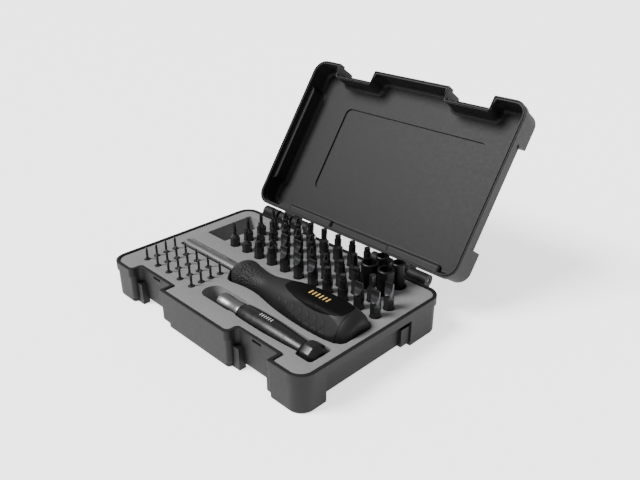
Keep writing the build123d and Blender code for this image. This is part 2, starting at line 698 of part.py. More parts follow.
with BuildPart() as fine_slotted_bits:
    cone_r, cone_h, cone_taper = FINE_CONE
    extrude(hexagons(rows_of("S"), BIT_Z0, HEX_AF), amount=FINE_SHOULDER_Z - BIT_Z0)
    extrude(discs(rows_of("S"), FINE_SHOULDER_Z, cone_r), amount=cone_h, taper=cone_taper)
    extrude(discs(rows_of("S"), FINE_SHOULDER_Z, FINE_R), amount=TIP_Z - FINE_SHOULDER_Z)
    with BuildSketch(Plane.XY.offset(TIP_Z)):
        for x, y in rows_of("S"):
            for side in (-1, 1):
                with Locations((x, y + side * (FINE_BLADE / 2 + FINE_R / 2))):
                    Rectangle(3 * FINE_R, FINE_R)
    extrude(amount=-FINE_BLADE_L, mode=Mode.SUBTRACT)

with BuildPart() as wide_slotted_bits:
    extrude(hexagons(rows_of("W"), BIT_Z0, HEX_AF), amount=SHOULDER_Z - BIT_Z0)
    extrude(discs(rows_of("W"), SHOULDER_Z, WIDE_R), amount=TIP_Z - SHOULDER_Z)
    for y in sorted({spot[1] for spot in rows_of("W")}):
        with BuildSketch(Plane.YZ.offset(-CASE_W / 2)):
            for side in (-1, 1):
                with Locations((y + side * (GRIND_R + WIDE_BLADE / 2), TIP_Z - 1.0)):
                    Circle(GRIND_R)
            with Locations((y, TIP_Z - GRIND_L / 2 + 0.5)):
                Rectangle(2 * WIDE_R + 1, GRIND_L, mode=Mode.INTERSECT)
        extrude(amount=CASE_W, mode=Mode.SUBTRACT)

with BuildPart() as cross_bits:
    extrude(hexagons(rows_of("P"), BIT_Z0, HEX_AF), amount=SHOULDER_Z - BIT_Z0)
    point_z = SHOULDER_Z + CROSS_BARREL
    extrude(discs(rows_of("P"), SHOULDER_Z, CROSS_R), amount=CROSS_BARREL)
    extrude(discs(rows_of("P"), point_z, CROSS_R), amount=TIP_Z - point_z, taper=CROSS_TAPER)
    with BuildSketch(Plane.XY.offset(TIP_Z)):
        for x, y in rows_of("P"):
            with Locations((x, y)):
                with PolarLocations(CROSS_FLUTE_AT, 4, start_angle=45):
                    Circle(CROSS_FLUTE_R)
    extrude(amount=-CROSS_FLUTE_L, mode=Mode.SUBTRACT)

with BuildPart() as hex_bits:
    cone_r, cone_h, cone_taper = HEX_CONE
    extrude(hexagons(rows_of("H"), BIT_Z0, HEX_AF), amount=SHOULDER_Z - BIT_Z0)
    extrude(discs(rows_of("H"), SHOULDER_Z, cone_r), amount=cone_h, taper=cone_taper)
    extrude(hexagons(rows_of("H"), SHOULDER_Z, HEX_TIP_AF), amount=TIP_Z - SHOULDER_Z)

with BuildPart() as star_bits:
    extrude(hexagons(rows_of("T"), BIT_Z0, HEX_AF), amount=SHOULDER_Z - BIT_Z0)
    extrude(discs(rows_of("T"), SHOULDER_Z, STAR_SHAFT_R), amount=TIP_Z - SHOULDER_Z - STAR_TIP)
    with BuildSketch(Plane.XY.offset(TIP_Z - STAR_TIP)):
        for x, y in rows_of("T"):
            with Locations((x, y)):
                Circle(STAR_R)
                with PolarLocations(STAR_R + 0.1, 6):
                    Circle(STAR_FLUTE_R, mode=Mode.SUBTRACT)
    extrude(amount=STAR_TIP)

with BuildPart() as nut_sockets:
    for spot, radius in zip(SOCKET_SPOTS, SOCKET_R):
        with BuildSketch(Plane.XY.offset(SOCKET_Z0)):
            with Locations(spot):
                Circle(radius)
        extrude(amount=FOAM_TOP_Z + SOCKET_TOP - SOCKET_Z0)
    chamfer(nut_sockets.edges().group_by(Axis.Z)[-1], 0.5)
    for spot, across in zip(SOCKET_SPOTS, SOCKET_AF):
        with BuildSketch(Plane.XY.offset(FOAM_TOP_Z + SOCKET_TOP)):
            with Locations(spot):
                RegularPolygon(across / 2, 6, major_radius=False)
        extrude(amount=-SOCKET_HEX_DEPTH, mode=Mode.SUBTRACT)

# ---- small bits ----
MICRO_Z0 = FOAM_TOP_Z + MICRO_TOP - MICRO_LENGTH
MICRO_TIP_Z = FOAM_TOP_Z + MICRO_TOP
MICRO_COLLAR_Z = FOAM_TOP_Z + MICRO_COLLAR
MICRO_NAMES = ("micro_slotted_bits", "micro_cross_bits", "micro_star_bits", "micro_hex_bits")
micro_bits = {}
for name, y in zip(MICRO_NAMES, MICRO_Y):
    spots = [(x, y) for x in MICRO_X]
    with BuildPart() as micro:
        extrude(hexagons(spots, MICRO_Z0, MICRO_AF), amount=MICRO_COLLAR_Z - MICRO_Z0)
        chamfer(micro.edges().group_by(Axis.Z)[-1], 0.4)
        point_z = MICRO_TIP_Z - MICRO_TIP
        extrude(discs(spots, MICRO_COLLAR_Z, MICRO_SHAFT_R), amount=point_z - MICRO_COLLAR_Z)
        extrude(discs(spots, point_z, MICRO_SHAFT_R), amount=MICRO_TIP, taper=MICRO_TAPER)
    micro_bits[name] = micro

# ---- foam insert ----
with BuildPart() as foam_insert:
    with BuildSketch(Plane.XY.offset(FLOOR_TOP_Z)):
        add(FOAM_LOWER_PLAN)
    extrude(amount=LEDGE_Z - FLOOR_TOP_Z)
    with BuildSketch(Plane.XY.offset(LEDGE_Z)):
        add(FOAM_UPPER_PLAN)
    extrude(amount=FOAM_TOP_Z - LEDGE_Z)
    with BuildSketch(Plane.XY.offset(GRIP_POCKET_FLOOR_Z)):
        with BuildLine():
            near = Spline([(x, DRIVER_Y - r - NEAR_GAP) for x, r in GRIP_WAIST[1:]])
            far = Spline([(x, DRIVER_Y + r + FAR_GAP) for x, r in GRIP_WAIST[1:]])
            Polyline(
                near @ 1,
                *[(x + FAR_GAP, DRIVER_Y - r - NEAR_GAP) for x, r in GRIP_BUTT],
                *[(x + FAR_GAP, DRIVER_Y + r + FAR_GAP) for x, r in reversed(GRIP_BUTT)],
                far @ 1,
            )
            Polyline(
                near @ 0,
                (GRIP_X[0] - FAR_GAP, SLOT_Y[0]),
                (GRIP_X[0] - FAR_GAP, SLOT_Y[1] + FAR_GAP),
                far @ 0,
            )
        make_face()
    extrude(amount=FOAM_TOP_Z - GRIP_POCKET_FLOOR_Z, mode=Mode.SUBTRACT)
    with BuildSketch(Plane.XY.offset(SLOT_FLOOR_Z)):
        with Locations(((SLOT_X0 + GRIP_X[0]) / 2, sum(SLOT_Y) / 2)):
            Rectangle(GRIP_X[0] - SLOT_X0, SLOT_Y[1] - SLOT_Y[0])
    extrude(amount=FOAM_TOP_Z - SLOT_FLOOR_Z, mode=Mode.SUBTRACT)
    with BuildSketch(Plane.XY.offset(PEN_POCKET_FLOOR_Z)):
        near = [(x, PEN_Y - r - PEN_GAP) for x, r in PEN_POCKET]
        far = [(x, PEN_Y + r + PEN_GAP) for x, r in reversed(PEN_POCKET)]
        Polygon(*near, *far, align=None)
    extrude(amount=FOAM_TOP_Z - PEN_POCKET_FLOOR_Z, mode=Mode.SUBTRACT)
    with BuildSketch(Plane.XY.offset(CAP_POCKET_FLOOR_Z)):
        with Locations((sum(CAP_POCKET_X) / 2, PEN_Y)):
            RectangleRounded(CAP_POCKET_X[1] - CAP_POCKET_X[0], CAP_POCKET_W, CAP_POCKET_R)
    extrude(amount=FOAM_TOP_Z - CAP_POCKET_FLOOR_Z, mode=Mode.SUBTRACT)
    with BuildSketch(Plane.XY.offset(SCOOP_FLOOR_Z)):
        with Locations((sum(SCOOP_X) / 2, sum(SCOOP_Y) / 2)):
            RectangleRounded(SCOOP_X[1] - SCOOP_X[0], SCOOP_Y[1] - SCOOP_Y[0], SCOOP_R)
    extrude(amount=FOAM_TOP_Z - SCOOP_FLOOR_Z, mode=Mode.SUBTRACT)
    with BuildSketch(Plane.XY.offset(POCKET_FLOOR_Z)):
        with Locations((sum(POCKET_X) / 2, sum(POCKET_Y) / 2)):
            RectangleRounded(POCKET_X[1] - POCKET_X[0], POCKET_Y[1] - POCKET_Y[0], POCKET_R)
    extrude(amount=FOAM_TOP_Z - POCKET_FLOOR_Z, mode=Mode.SUBTRACT)
    every_bit = [spot for kind in "SWPHT" for spot in rows_of(kind)]
    extrude(discs(every_bit, BIT_Z0, BIT_HOLE_R), amount=FOAM_TOP_Z - BIT_Z0, mode=Mode.SUBTRACT)
    extrude(
        discs(SOCKET_SPOTS, SOCKET_Z0, SOCKET_HOLE_R), amount=FOAM_TOP_Z - SOCKET_Z0, mode=Mode.SUBTRACT
    )
    every_micro = [(x, y) for x in MICRO_X for y in MICRO_Y]
    extrude(
        discs(every_micro, MICRO_Z0, MICRO_HOLE_R), amount=FOAM_TOP_Z - MICRO_Z0, mode=Mode.SUBTRACT
    )

# ---- write every piece ----
pieces = {
    "case_base": case_base,
    "case_lid": case_lid,
    **hinge_pins,
    **latches,
    **latch_pins,
    "foam_insert": foam_insert,
    "driver_grip": driver_grip,
    "driver_core": driver_core,
    "driver_shank": driver_shank,
    "driver_magnet": driver_magnet,
    "driver_label_plate": driver_label_plate,
    "precision_body": precision_body,
    "precision_nose": precision_nose,
    "precision_magnet": precision_magnet,
    "precision_cap": precision_cap,
    "precision_cap_pin": precision_cap_pin,
    "precision_label_plate": precision_label_plate,
    "fine_slotted_bits": fine_slotted_bits,
    "wide_slotted_bits": wide_slotted_bits,
    "cross_bits": cross_bits,
    "hex_bits": hex_bits,
    "star_bits": star_bits,
    "nut_sockets": nut_sockets,
    **micro_bits,
}
for name, piece in pieces.items():
    piece.part.label = name
    export_step(piece.part, f"parts/{name}.step")
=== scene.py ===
import json
from math import atan2, cos, exp, hypot, log, pi, radians, sin, sqrt

import bmesh
import bpy
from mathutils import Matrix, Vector


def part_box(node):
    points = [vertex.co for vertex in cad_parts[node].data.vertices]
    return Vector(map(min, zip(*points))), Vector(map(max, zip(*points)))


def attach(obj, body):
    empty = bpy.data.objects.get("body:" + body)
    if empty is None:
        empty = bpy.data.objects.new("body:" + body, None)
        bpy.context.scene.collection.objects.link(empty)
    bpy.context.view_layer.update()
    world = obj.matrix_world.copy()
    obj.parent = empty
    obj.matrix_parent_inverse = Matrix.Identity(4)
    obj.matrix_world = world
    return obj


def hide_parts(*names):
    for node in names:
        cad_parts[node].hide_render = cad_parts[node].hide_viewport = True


# Looks for the precision screwdriver set: materials for the CAD nodes, and the grips,
# labels and small details that stand on them. Metres, in the CAD model's frame.
MM = 0.001

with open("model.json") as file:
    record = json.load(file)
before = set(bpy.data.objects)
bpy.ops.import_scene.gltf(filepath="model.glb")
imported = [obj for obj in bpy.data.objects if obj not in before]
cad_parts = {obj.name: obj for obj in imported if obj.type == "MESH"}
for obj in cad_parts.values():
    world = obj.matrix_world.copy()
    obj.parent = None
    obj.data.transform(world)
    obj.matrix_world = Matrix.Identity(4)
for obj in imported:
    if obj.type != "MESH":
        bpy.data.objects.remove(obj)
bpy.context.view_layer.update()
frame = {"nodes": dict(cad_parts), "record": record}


# ---------------------------------------------------------------- node helpers
class Look:
    """A node material under construction: a Principled shader with short ways to add texture."""

    def __init__(self, name, color, roughness, metallic=0.0, **sockets):
        self.mat = bpy.data.materials.new(name)
        self.mat.use_nodes = True
        self.tree = self.mat.node_tree
        self.shader = self.tree.nodes["Principled BSDF"]
        self.shader.inputs["Base Color"].default_value = (*color, 1.0)
        self.shader.inputs["Roughness"].default_value = roughness
        self.shader.inputs["Metallic"].default_value = metallic
        for key, value in sockets.items():
            self.shader.inputs[key.replace("_", " ")].default_value = value
        self.coords = self.tree.nodes.new("ShaderNodeTexCoord").outputs["Object"]
        self.normal = None

    def node(self, kind, **values):
        made = self.tree.nodes.new(kind)
        for key, value in values.items():
            if key in made.inputs:
                made.inputs[key].default_value = value
            else:
                setattr(made, key, value)
        return made

    def link(self, out, into):
        self.tree.links.new(out, into)

    def stretched(self, scale):
        """Object coordinates scaled unevenly, for brushed and drawn surfaces."""
        mapping = self.node("ShaderNodeMapping")
        mapping.inputs["Scale"].default_value = scale
        self.link(self.coords, mapping.inputs["Vector"])
        return mapping.outputs["Vector"]

    def noise(self, scale, detail=3.0, roughness=0.5, coords=None):
        made = self.node("ShaderNodeTexNoise", Scale=scale, Detail=detail, Roughness=roughness)
        self.link(coords or self.coords, made.inputs["Vector"])
        return made.outputs["Fac"]

    def cells(self, scale, feature="F1", coords=None):
        made = self.node("ShaderNodeTexVoronoi", feature=feature, Scale=scale)
        self.link(coords or self.coords, made.inputs["Vector"])
        return made.outputs["Distance"]

    def ramp(self, value, stops):
        """A colour ramp over value; stops are (position, (r, g, b))."""
        made = self.node("ShaderNodeValToRGB")
        ramp = made.color_ramp
        while len(ramp.elements) < len(stops):
            ramp.elements.new(0.5)
        for element, (place, color) in zip(ramp.elements, stops):
            element.position = place
            element.color = (*color, 1.0)
        self.link(value, made.inputs["Fac"])
        return made.outputs["Color"]

    def span(self, value, low, high, start=0.0, end=1.0):
        """value mapped from start..end to low..high."""
        made = self.node("ShaderNodeMapRange")
        made.inputs["From Min"].default_value = start
        made.inputs["From Max"].default_value = end
        made.inputs["To Min"].default_value = low
        made.inputs["To Max"].default_value = high
        self.link(value, made.inputs["Value"])
        return made.outputs["Result"]

    def vary_color(self, value, stops):
        self.link(self.ramp(value, stops), self.shader.inputs["Base Color"])
        return self

    def vary_roughness(self, value, low, high, start=0.3, end=0.7):
        self.link(self.span(value, low, high, start, end), self.shader.inputs["Roughness"])
        return self

    def bump(self, value, strength, distance):
        made = self.node("ShaderNodeBump", Strength=strength, Distance=distance)
        self.link(value, made.inputs["Height"])
        if self.normal:
            self.link(self.normal, made.inputs["Normal"])
        self.normal = made.outputs["Normal"]
        self.link(self.normal, self.shader.inputs["Normal"])
        return self


def shades(color, low, high):
    """The same colour darkened and lightened, as ramp stops."""
    return ((0.3, tuple(c * low for c in color)), (0.7, tuple(c * high for c in color)))


# ---------------------------------------------------------------- materials
def case_plastic():
    color = (0.0085, 0.0085, 0.009)
    look = Look("case_plastic", color, 0.52, IOR=1.46, Specular_IOR_Level=0.20)
    look.vary_color(look.noise(300.0, 5.0, 0.6), shades(color, 0.94, 1.07))
    look.vary_roughness(look.noise(400.0, 5.0), 0.50, 0.55)
    return look.bump(look.noise(1500.0, 4.0, 0.6), 0.20, 0.00010).bump(look.cells(2600.0), 0.12, 0.00005).mat


def foam_material():
    color = (0.158, 0.158, 0.160)
    look = Look("foam", color, 0.92, Specular_IOR_Level=0.2)
    look.vary_color(look.noise(900.0, 6.0, 0.7), shades(color, 0.88, 1.12))
    look.vary_roughness(look.noise(500.0, 4.0), 0.85, 0.97)
    look.bump(look.cells(1500.0), 0.35, 0.00014)
    return look.bump(look.noise(2600.0, 3.0, 0.65), 0.30, 0.00010).mat


def grip_rubber(name="grip_rubber", color=(0.0065, 0.0065, 0.007), pits=True):
    """Soft rubber; the front of the grip is pitted."""
    look = Look(name, color, 0.55, Specular_IOR_Level=0.22, Sheen_Weight=0.02, Sheen_Roughness=0.5)
    look.vary_color(look.noise(60.0, 5.0, 0.6), shades(color, 0.90, 1.12))
    look.vary_roughness(look.noise(120.0, 4.0), 0.46, 0.60)
    look.bump(look.noise(3200.0, 3.0, 0.6), 0.22, 0.00008)
    if pits:
        split = look.node("ShaderNodeSeparateXYZ")
        look.link(look.coords, split.inputs["Vector"])
        front = look.span(split.outputs["X"], 1.0, 0.0, -0.004, 0.016)
        product = look.node("ShaderNodeMath", operation="MULTIPLY")
        look.link(front, product.inputs[0])
        look.link(look.cells(800.0), product.inputs[1])
        look.bump(product.outputs["Value"], 1.0, 0.0006)
    return look.mat


def gloss_black(name="gloss_black", color=(0.004, 0.004, 0.0045), roughness=0.3, specular=0.32):
    look = Look(name, color, roughness, Specular_IOR_Level=specular)
    look.vary_color(look.noise(60.0, 3.0), shades(color, 0.9, 1.15))
    look.vary_roughness(look.noise(240.0, 5.0), roughness * 0.8, roughness * 1.3)
    return look.bump(look.noise(700.0, 2.0), 0.05, 0.00005).mat


def turned_metal(name, color, roughness, along=(1.0, 60.0, 60.0), depth=0.02):
    """Metal with fine lines drawn along X."""
    look = Look(name, color, roughness, 1.0)
    lines = look.noise(160.0, 5.0, 0.6, look.stretched(along))
    look.vary_color(look.noise(300.0, 4.0), shades(color, 0.96, 1.04))
    look.vary_roughness(lines, roughness * 0.9, roughness * 1.12)
    return look.bump(lines, depth, 0.00003).mat


def bit_steel(name="bit_steel", color=(0.034, 0.034, 0.036), roughness=0.22):
    """Black oxide, worn brighter in places."""
    look = Look(name, color, roughness, 0.75)
    worn = look.noise(1100.0, 4.0, 0.6)
    look.vary_color(worn, ((0.42, color), (0.72, tuple(c * 1.5 for c in color))))
    look.vary_roughness(look.noise(1400.0, 4.0), roughness * 0.85, roughness * 1.2)
    return look.bump(look.noise(2600.0, 3.0), 0.08, 0.00003).mat


def printed(name, color, roughness, metallic):
    look = Look(name, color, roughness, metallic)
    look.vary_color(look.noise(500.0, 3.0), shades(color, 0.88, 1.10))
    look.vary_roughness(look.noise(900.0, 3.0), roughness * 0.85, roughness * 1.2)
    return look.bump(look.noise(1800.0, 2.0), 0.08, 0.00003).mat


MATERIALS = {
    "case_plastic": case_plastic(),
    "foam": foam_material(),
    "grip_rubber": grip_rubber(),
    "core_plastic": gloss_black("core_plastic", (0.008, 0.008, 0.008), 0.4),
    "label_black": gloss_black("label_black", (0.0015, 0.0015, 0.0015), 0.5, 0.06),
    "gloss_black": gloss_black(),
    "chrome_steel": turned_metal("chrome_steel", (0.19, 0.19, 0.195), 0.27),
    "satin_silver": turned_metal("satin_silver", (0.17, 0.17, 0.17), 0.34),
    "pin_steel": turned_metal("pin_steel", (0.12, 0.12, 0.125), 0.35),
    "magnet": turned_metal("magnet", (0.25, 0.25, 0.26), 0.3),
    "bit_steel": bit_steel(),
    "socket_steel": bit_steel("socket_steel", (0.009, 0.009, 0.0095), 0.42),
}
GOLD = printed("gold_print", (0.66, 0.45, 0.12), 0.40, 0.2)
WHITE = printed("white_print", (0.50, 0.50, 0.49), 0.42, 0.0)

for part in frame["record"]["subparts"]:
    mesh = frame["nodes"][part["node"]].data
    mesh.materials.clear()
    mesh.materials.append(MATERIALS[part["material_slot"]])


# ---------------------------------------------------------------- shape helpers
def smooth_line(points):
    """A function through (x, value) points, smooth from one to the next."""
    xs = [x for x, _ in points]
    ys = [y for _, y in points]
    last = len(points) - 1
    slopes = []
    for i in range(last + 1):
        low, high = max(i - 1, 0), min(i + 1, last)
        slopes.append((ys[high] - ys[low]) / (xs[high] - xs[low]))

    def value(x):
        i = max(0, min(last - 1, sum(1 for place in xs[1:] if place < x)))
        width = xs[i + 1] - xs[i]
        t = min(max((x - xs[i]) / width, 0.0), 1.0)
        start = (1 + 2 * t) * (1 - t) ** 2 * ys[i] + t * (1 - t) ** 2 * width * slopes[i]
        end = t * t * (3 - 2 * t) * ys[i + 1] + t * t * (t - 1) * width * slopes[i + 1]
        return start + end

    return value


def soft_min(a, b, blend):
    """The smaller of two lengths, rounded where they cross."""
    return min(a, b) - blend * log(1 + exp(-abs(a - b) / blend))


def facet(radius, flat, count, angle, blend):
    """The radius of a round section with count flats, its flats' middles at 0, 360/count, ..."""
    step = 2 * pi / count
    off = (angle + step / 2) % step - step / 2
    return soft_min(radius, flat / cos(off), blend)


def smoothstep(low, high, value):
    t = min(max((value - low) / (high - low), 0.0), 1.0)
    return t * t * (3 - 2 * t)


def finished(name, bm, material, sharp=35.0):
    """A piece made of bm's mesh, smooth except at edges sharper than the angle."""
    bmesh.ops.recalc_face_normals(bm, faces=bm.faces)
    mesh = bpy.data.meshes.new(name)
    bm.to_mesh(mesh)
    bm.free()
    mesh.shade_smooth()
    mesh.set_sharp_from_angle(angle=radians(sharp))
    mesh.materials.append(material)
    made = bpy.data.objects.new(name, mesh)
    bpy.context.collection.objects.link(made)
    return made


PRINT_DEPTH = 0.3
WELD = 1e-7


class Round:
    """A round tool lying along X about (y, z); lengths in mm, angle 0 up, a quarter turn towards -Y."""

    def __init__(self, y, z, radius):
        self.y, self.z, self.radius = y, z, radius

    def spot(self, x, angle, r):
        return Vector((x, self.y - r * sin(angle), self.z + r * cos(angle))) * MM

    def place(self, x, along, lift):
        """The spot lift above the surface, along mm around it from the top."""
        angle = along / self.radius(x, 0.0)
        return self.spot(x, angle, self.radius(x, angle) + lift)

    def shell(self, name, rows, columns, material, sharp=35.0):
        """A closed skin over rows of (x, radius as a function of the angle)."""
        bm = bmesh.new()
        rings = []
        for x, radius in rows:
            angles = [2 * pi * k / columns for k in range(columns)]
            rings.append([bm.verts.new(self.spot(x, a, radius(a))) for a in angles])
        for ring, after in zip(rings, rings[1:]):
            for k in range(columns):
                nxt = (k + 1) % columns
                bm.faces.new((ring[k], ring[nxt], after[nxt], after[k]))
        bm.faces.new(rings[0])
        bm.faces.new(rings[-1])
        return finished(name, bm, material, sharp)

    def strokes(self, name, lines, lift, material):
        """Raised print: each line is ((x, along) on one side, (x, along) on the other) pairs."""
        bm = bmesh.new()
        for line in lines:
            tops = [[bm.verts.new(self.place(*spot, lift)) for spot in pair] for pair in line]
            feet = [[bm.verts.new(self.place(*spot, lift - PRINT_DEPTH)) for spot in pair] for pair in line]
            for i in range(len(line) - 1):
                a, b = tops[i], tops[i + 1]
                c, d = feet[i], feet[i + 1]
                bm.faces.new((a[0], a[1], b[1], b[0]))
                bm.faces.new((a[0], b[0], d[0], c[0]))
                bm.faces.new((a[1], c[1], d[1], b[1]))
            for top, foot in ((tops[0], feet[0]), (tops[-1], feet[-1])):
                bm.faces.new((top[0], top[1], foot[1], foot[0]))
        bmesh.ops.remove_doubles(bm, verts=bm.verts, dist=WELD)
        return finished(name, bm, material)


def plain_rows(pairs):
    """Rows of (x, radius) as Round.shell takes them, round all the way."""
    return [(x, lambda angle, r=r: r) for x, r in pairs]


BAR_STEPS = 4


def bars(x0, x1, pitch, width, half):
    """Upright bars side by side between x0 and x1, half a bar to each side of the top line."""
    lines = []
    for i in range(int((x1 - x0) / pitch)):
        x = x0 + pitch * i
        spots = [half * (2 * k / BAR_STEPS - 1) for k in range(BAR_STEPS + 1)]
        lines.append([((x, across), (x + width, across)) for across in spots])
    return lines


# ---------------------------------------------------------------- large driver's grip
# Each axis is (y, z) in mm, as in the CAD model.
GRIP_AXIS = (-8.5, 24.1)
GRIP_LINE = smooth_line((
    (-23.4, 6.4), (-18.0, 10.3), (-13.6, 11.6), (-7.2, 10.5), (1.1, 9.3), (11.3, 9.4), (24.0, 11.7),
    (36.3, 13.8), (55.0, 15.5), (67.0, 15.8), (80.0, 15.2), (86.0, 14.0),
))
GRIP_START = -23.4
GRIP_END = 84.4
GRIP_STEP = 0.55
GRIP_COLUMNS = 168
GRIP_BUTT_ROWS = (
    (84.5, 14.15), (84.7, 13.85), (85.1, 13.8), (85.4, 13.95), (86.2, 13.75), (88.0, 12.75), (89.6, 11.6),
    (90.4, 10.8), (91.0, 9.9), (91.4, 8.9), (91.5, 8.0), (91.5, 5.2), (91.2, 4.8), (91.1, 0.1),
)
GRIP_NOSE_ROWS = ((-24.7, 4.72), (-24.7, 5.0), (-24.3, 5.5), (-23.9, 5.95))
FLAT = 14.2
FLATS = 6
FLAT_BLEND = 0.10
SKIN_GAP = 0.02
STROKE_ARC = 4.2
STROKE_HALF = 0.55
STROKE_LEAST = 0.05
STROKE_BEND = 1.25
STROKE_DEPTH = 0.30
STROKE_X = 30.0
STROKE_PITCH = 6.6
STROKE_COLUMNS = 7
STROKE_ROWS = (16.5, 22.5, 28.5)
STROKE_SPAN = (24.0, 82.0)
STROKE_GIRTH = 14.0


def crescent(x, along, cx, ca):
    """How deep the crescent stroke about (cx, ca) is pressed at (x, along), from 0 to 1."""
    dx, da = x - cx, along - ca
    bend = atan2(da, dx)
    half = STROKE_HALF * (1 - (bend / STROKE_BEND) ** 2)
    if half <= STROKE_LEAST:
        return 0.0
    return 1 - smoothstep(half * 0.4, half, abs(hypot(dx, da) - STROKE_ARC))


def pressed(x, angle):
    """The embossed pattern's depth in mm on both sides of the grip."""
    if not STROKE_SPAN[0] < x < STROKE_SPAN[1]:
        return 0.0
    along = abs(angle if angle < pi else angle - 2 * pi) * STROKE_GIRTH
    depth = 0.0
    for row, ca in enumerate(STROKE_ROWS):
        start = STROKE_X + STROKE_PITCH / 2 * (row % 2)
        nearest = round((x - STROKE_ARC - start) / STROKE_PITCH)
        for column in range(max(nearest - 1, 0), min(nearest + 2, STROKE_COLUMNS)):
            depth = max(depth, crescent(x, along, start + STROKE_PITCH * column, ca))
    return STROKE_DEPTH * depth


def grip_radius(x, angle):
    return facet(GRIP_LINE(x), FLAT, FLATS, angle, FLAT_BLEND) - SKIN_GAP


grip_round = Round(*GRIP_AXIS, grip_radius)


def large_grip():
    rows = plain_rows(GRIP_NOSE_ROWS)
    for k in range(round((GRIP_END - GRIP_START) / GRIP_STEP) + 1):
        x = GRIP_START + GRIP_STEP * k
        rows.append((x, lambda a, x=x: grip_radius(x, a) - pressed(x, a)))
    rows += [(x, lambda a, r=r: facet(r, FLAT, FLATS, a, FLAT_BLEND)) for x, r in GRIP_BUTT_ROWS]
    grip = grip_round.shell("grip", rows, GRIP_COLUMNS, MATERIALS["grip_rubber"])
    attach(grip, "driver")
    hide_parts("driver_grip")


LENS = smooth_line((
    (29.6, 3.7), (34.0, 6.1), (45.0, 9.3), (62.0, 10.9), (74.0, 9.4), (81.6, 6.6), (84.0, 4.4),
))


LABEL_X = (29.6, 83.8)
LABEL_ROWS = 100
LABEL_COLUMNS = 28
LABEL_SUNK = 0.08
LABEL_RISE = 0.38
LABEL_SIDE_RIM = 0.5
LABEL_END_RIM = 0.4
LABEL_SKIRT = 0.03


def label_row(bm, x):
    """The panel's verts across the grip at x; its edges dip into the rubber."""
    start, end = x - LABEL_X[0], LABEL_X[1] - x
    half = LENS(x) * sqrt(min(1.0, start / 0.5 + 0.35, end / 1.6 + 0.2))
    row = []
    for i in range(LABEL_COLUMNS + 1):
        v = 2 * i / LABEL_COLUMNS - 1
        rim = min(1.0, (1 - abs(v)) * half / LABEL_SIDE_RIM, start / LABEL_END_RIM, end / LABEL_END_RIM)
        row.append(bm.verts.new(grip_round.place(x, v * half, LABEL_RISE * sqrt(max(rim, 0.0)) - LABEL_SUNK)))
    return row


def label_panel():
    """The lens-shaped panel that wraps over the top of the grip."""
    bm = bmesh.new()
    length = LABEL_X[1] - LABEL_X[0]
    rows = [label_row(bm, LABEL_X[0] + length * k / LABEL_ROWS) for k in range(LABEL_ROWS + 1)]
    for row, after in zip(rows, rows[1:]):
        for i in range(LABEL_COLUMNS):
            bm.faces.new((row[i], row[i + 1], after[i + 1], after[i]))
    edge = [row[0] for row in rows] + rows[-1][1:]
    edge += [row[-1] for row in reversed(rows[:-1])] + rows[0][-2:0:-1]
    feet = []
    for vert in edge:
        axis = Vector((vert.co.x, GRIP_AXIS[0] * MM, GRIP_AXIS[1] * MM))
        feet.append(bm.verts.new(vert.co + (axis - vert.co) * LABEL_SKIRT))
    for i in range(len(edge)):
        bm.faces.new((edge[i - 1], edge[i], feet[i], feet[i - 1]))
    panel = finished("label_panel", bm, MATERIALS["label_black"], 50.0)
    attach(panel, "driver")
    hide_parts("driver_label_plate")


GOLD_LIFT = 0.38


def gold_mark():
    """A short row of even upright gold bars, where the real tool has print."""
    mark = grip_round.strokes("gold_mark", bars(50.0, 68.0, 3.0, 1.0, 2.0), GOLD_LIFT, GOLD)
    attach(mark, "driver")


# ---------------------------------------------------------------- precision driver
PEN_AXIS = (-39.8, 23.0)
PEN_COLUMNS = 96
PEN_SPAN = (22.9, 76.6)
PEN_STEPS = 90
PEN_LINE = smooth_line((
    (22.9, 7.0), (30.0, 7.4), (40.0, 7.58), (48.0, 7.58), (56.0, 7.25), (64.0, 6.8), (72.0, 6.15),
    (77.0, 5.75),
))
PEN_NECK_ROWS = (
    (20.25, 4.25), (20.25, 5.7), (20.5, 5.95), (21.0, 5.98), (21.15, 5.75), (21.4, 5.75), (21.55, 5.98),
    (22.2, 5.98), (22.35, 6.3), (22.55, 6.8),
)
PEN_END_ROWS = ((77.0, 5.6), (77.15, 5.3), (77.15, 1.65))
CAP_ROWS = (
    (78.2, 1.7), (78.2, 6.6), (78.35, 7.1), (79.0, 7.7), (80.2, 8.35), (80.7, 8.48), (86.3, 8.48),
    (86.9, 8.3), (88.4, 7.2), (89.5, 6.3), (90.05, 5.5), (90.2, 4.8), (90.2, 3.9), (89.8, 3.3), (89.7, 0.1),
)


NOSE_FRONT = -1.5
SOCKET_HALF = 2.06
SOCKET_ROUND = 9.0
SOCKET_END = 8.0
NOSE_SPAN = (0.2, 19.4)
NOSE_STEPS = 40
NOSE_FRONT_ROWS = ((NOSE_FRONT, 4.2), (NOSE_FRONT, 5.1), (-1.1, 5.65), (-0.5, 6.0))
NOSE_BACK_ROWS = ((19.8, 6.05), (20.1, 5.9), (20.2, 5.7), (20.2, 4.3))
NOSE_LINE = smooth_line((
    (0.2, 6.15), (3.0, 6.18), (7.0, 5.85), (11.0, 5.6), (15.0, 5.85), (18.0, 6.15), (19.4, 6.15),
))


def pen_radius(x, angle):
    """The barrel's radius, the same all round."""
    return PEN_LINE(x)


pen_round = Round(*PEN_AXIS, pen_radius)


def pen_body():
    """The dark barrel, stepped where it meets the collar and the cap."""
    x0, x1 = PEN_SPAN
    spots = [x0 + (x1 - x0) * k / PEN_STEPS for k in range(PEN_STEPS + 1)]
    barrel = [(x, PEN_LINE(x)) for x in spots]
    rows = plain_rows((*PEN_NECK_ROWS, *barrel, *PEN_END_ROWS))
    body = pen_round.shell("precision_barrel", rows, PEN_COLUMNS, MATERIALS["gloss_black"])
    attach(body, "precision")
    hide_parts("precision_body", "precision_label_plate")


